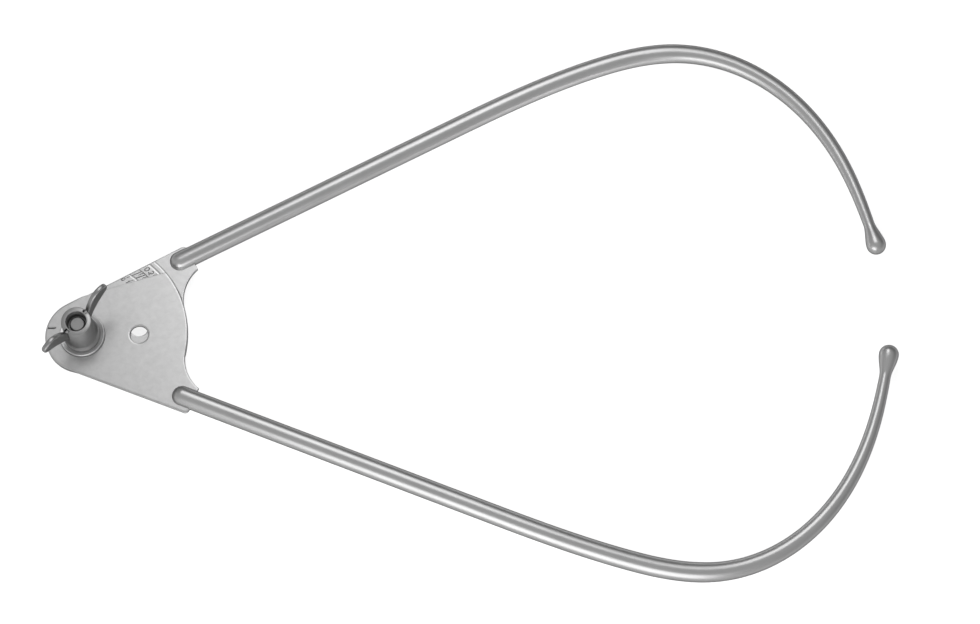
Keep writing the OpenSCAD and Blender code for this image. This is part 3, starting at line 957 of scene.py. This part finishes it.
def rod_finish():
    """Hand-polished round stock: long fine scratches that follow the bow, with painted shade in the corners
    where the rod meets other parts, and no brightened edges.
    """
    def streaks(tree, position):
        along = add_node(tree, "ShaderNodeAttribute", attribute_name="grain", attribute_type="GEOMETRY")
        bent = along.outputs["Vector"]
        return use_group(tree, grain_group, Position=bent, Along=120, Across=3500)["Streak"]
    return steel("polished rod steel", (0.67, 0.8), (0.26, 0.36), streaks, patch_size=55,
                 streak_depth=2.5e-6, patch_depth=3e-5, dark=0.35, reach=0.0012, wear_and_sheen=0)


def braze_finish():
    """The braze line: a little darker and duller than the steel that it joins, with painted shade in its
    corners and brighter edges that are partly a painted highlight.
    """
    def streaks(tree, position):
        return use_group(tree, grain_group, Position=position, Along=1500, Across=1500)["Streak"]
    return steel("braze line", (0.5, 0.6), (0.34, 0.45), streaks, patch_size=300,
                 streak_depth=6e-6, patch_depth=2e-5, dark=0.4, reach=0.0012)


def turned_finish(name, tone, roughness, dark, reach):
    """Lathe-turned steel: fine rings about the pivot, with painted shade in corners, set by dark and reach,
    and brighter edges that are partly a painted highlight.
    """
    def streaks(tree, position):
        return use_group(tree, turning_group, Position=position, Fineness=3500)["Streak"]
    return steel(name, tone, roughness, streaks, patch_size=220, streak_depth=2e-6, patch_depth=1e-5,
                 dark=dark, reach=reach)


def wing_finish():
    """Forged and tumbled blades: darker, with a soft uneven skin, painted shade in corners and brighter
    edges that are partly a painted highlight.
    """
    def streaks(tree, position):
        return use_group(tree, grain_group, Position=position, Along=1200, Across=1800)["Streak"]
    return steel("tumbled wing steel", (0.42, 0.5), (0.34, 0.46), streaks, patch_size=260,
                 streak_depth=3e-6, patch_depth=3e-5, dark=0.5, reach=0.0008)


def floor_finish():
    """White paper. The camera sees it brighter than it is lit, and glossy rays a little, so that it shows
    white and still takes the shadow."""
    material = bpy.data.materials.new("white paper")
    material.use_nodes = True
    tree = material.node_tree
    shader = tree.nodes["Principled BSDF"]
    shader.inputs["Roughness"].default_value = 0.9
    shader.inputs["Specular IOR Level"].default_value = 0.1
    position = tree.nodes.new("ShaderNodeTexCoord").outputs["Object"]
    fibre = add_node(tree, "ShaderNodeTexNoise", {"Scale": 900.0, "Detail": 3.0, "Vector": position})
    tone = mixed(tree, fibre.outputs["Fac"], *paper_tone)
    grey = add_node(tree, "ShaderNodeCombineColor", {"Red": tone, "Green": tone, "Blue": tone})
    tree.links.new(grey.outputs[0], shader.inputs["Base Color"])
    shader.inputs["Emission Color"].default_value = (1, 1, 1, 1)
    path = tree.nodes.new("ShaderNodeLightPath").outputs
    seen = add_node(tree, "ShaderNodeMath", {0: path["Is Camera Ray"], 1: paper_seen}, operation="MULTIPLY")
    mirrored = add_node(tree, "ShaderNodeMath", {0: path["Is Glossy Ray"], 1: paper_mirrored,
                                                 2: seen.outputs[0]}, operation="MULTIPLY_ADD")
    tree.links.new(mirrored.outputs[0], shader.inputs["Emission Strength"])
    return material


# Stage

def make_floor():
    """A sheet of paper just under the instrument."""
    corners = [(-paper_half, -paper_half, -paper_drop), (paper_half, -paper_half, -paper_drop),
               (paper_half, paper_half, -paper_drop), (-paper_half, paper_half, -paper_drop)]
    paper = new_piece("paper_floor", corners, [(0, 1, 2, 3)])
    paper.data.materials.append(floor_finish())


def make_camera():
    """The photograph's view: from above, leaning over from the near side, a little turned."""
    camera = bpy.data.objects.new("camera", bpy.data.cameras.new("camera"))
    bpy.context.scene.collection.objects.link(camera)
    camera.data.sensor_width = sensor_width
    camera.data.lens = focal_px / picture_width_px * sensor_width
    camera.data.clip_end = 20
    tilt = Matrix.Rotation(math.radians(-camera_tilt), 3, "X")
    to_camera = tilt @ Matrix.Rotation(math.radians(camera_roll), 3, "Z")
    moved = Matrix.Translation([v * MM for v in camera_place])
    camera.matrix_world = moved @ to_camera.transposed().to_4x4()
    bpy.context.scene.camera = camera


def make_lamp(name, place, width, height, brightness, paper_only=False):
    """A soft box at a place in millimetres that faces the instrument's middle. brightness is the light
    that its face gives off, so the power grows with its area. One for the paper only isn't mirrored."""
    place = Vector(place) * MM
    away = place - Vector(aim) * MM
    data = bpy.data.lights.new(name, "AREA")
    data.shape = "RECTANGLE"
    data.size = width * MM
    data.size_y = height * MM
    data.energy = brightness * math.pi * data.size * data.size_y
    lamp = bpy.data.objects.new(name, data)
    bpy.context.scene.collection.objects.link(lamp)
    lamp.matrix_world = Matrix.Translation(place) @ away.to_track_quat("Z", "Y").to_matrix().to_4x4()
    lamp.visible_camera = False
    lamp.visible_glossy = not paper_only


def make_world():
    """A grey room: its light at the horizon changes evenly from left to right and from front to back, and
    it turns to the ceiling's light above. The camera sees it white."""
    world = bpy.data.worlds.new("grey room")
    bpy.context.scene.world = world
    world.use_nodes = True
    tree = world.node_tree
    shader = tree.nodes["Background"]
    shader.inputs["Color"].default_value = (1, 1, 1, 1)
    ray = tree.nodes.new("ShaderNodeTexCoord").outputs["Generated"]
    direction = add_node(tree, "ShaderNodeSeparateXYZ", {0: ray}).outputs
    aside = add_node(tree, "ShaderNodeMath", {0: direction["X"], 1: room_to_right, 2: room_middle},
                     operation="MULTIPLY_ADD")
    around = add_node(tree, "ShaderNodeMath", {0: direction["Y"], 1: room_to_back, 2: aside.outputs[0]},
                      operation="MULTIPLY_ADD")
    room = add_node(tree, "ShaderNodeMapRange", {"Value": direction["Z"], "From Min": ceiling_from,
                                                 "To Min": around.outputs[0], "To Max": room_above})
    camera_ray = tree.nodes.new("ShaderNodeLightPath").outputs["Is Camera Ray"]
    shown = mixed(tree, camera_ray, room.outputs[0], 1.0)
    tree.links.new(shown, shader.inputs["Strength"])


# Making of the instrument

rear_path = Path(rear_root, rear_shank_angle, rear_bend_lengths, rear_bend_radii, 1)
front_path = Path(front_root, front_shank_angle, front_bend_lengths, front_bend_radii, -1)
mid_rear_z, mid_front_z = rear_z + plate_t / 2, front_z + plate_t / 2
plate_look, rod_look, braze_look, wing_look = plate_finish(), rod_finish(), braze_finish(), wing_finish()
# The nut, washer and screw paint shade into their corners: dark is the low tone's share left there, reach
# how far it spreads.
nut_look = turned_finish("turned nut steel", (0.46, 0.54), (0.36, 0.46), dark=0.7, reach=0.0012)
washer_look = turned_finish("turned washer steel", (0.74, 0.84), (0.34, 0.44), dark=0.4, reach=0.0005)
screw_look = turned_finish("screw steel", (0.34, 0.42), (0.34, 0.44), dark=0.4, reach=0.001)


def dress(piece, body, slot, look, *nodes):
    """Gives a finished piece its material and body, and hides the nodes that it stands for. slot is not
    used.
    """
    piece.data.materials.clear()
    piece.data.materials.append(look)
    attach(piece, body)
    if nodes:
        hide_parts(*nodes)


dress(make_rear_plate(), "rear_half", "plate_steel", plate_look, "rear_plate")
dress(make_front_plate(), "front_half", "plate_steel", plate_look, "front_plate")
for side, path, mid_z, body in (("rear", rear_path, mid_rear_z, "rear_half"),
                                ("front", front_path, mid_front_z, "front_half")):
    dress(make_arm(f"{side}_arm_steel", path, mid_z), body, "rod_steel", rod_look, f"{side}_arm")
    button = make_button(f"{side}_button_steel", path, mid_z)
    dress(button, body, "button_steel", rod_look, f"{side}_button")
    dress(make_braze(f"{side}_braze_line", path, mid_z), body, "rod_steel", braze_look)
dress(make_bolt(), "rear_half", "screw_steel", screw_look, "pivot_bolt")
dress(make_washer(), "washer", "washer_steel", washer_look, "pressure_washer")
dress(make_boss(), "wing_nut", "nut_steel", nut_look, "nut_boss")
for name, turn in (("wing_left", 180), ("wing_right", 0)):
    dress(make_wing(f"{name}_steel", turn), "wing_nut", "wing_steel", wing_look, name)

make_floor()
make_camera()
make_world()
for lamp in lamps:
    make_lamp(*lamp)
bpy.context.scene.view_settings.view_transform = "Standard"
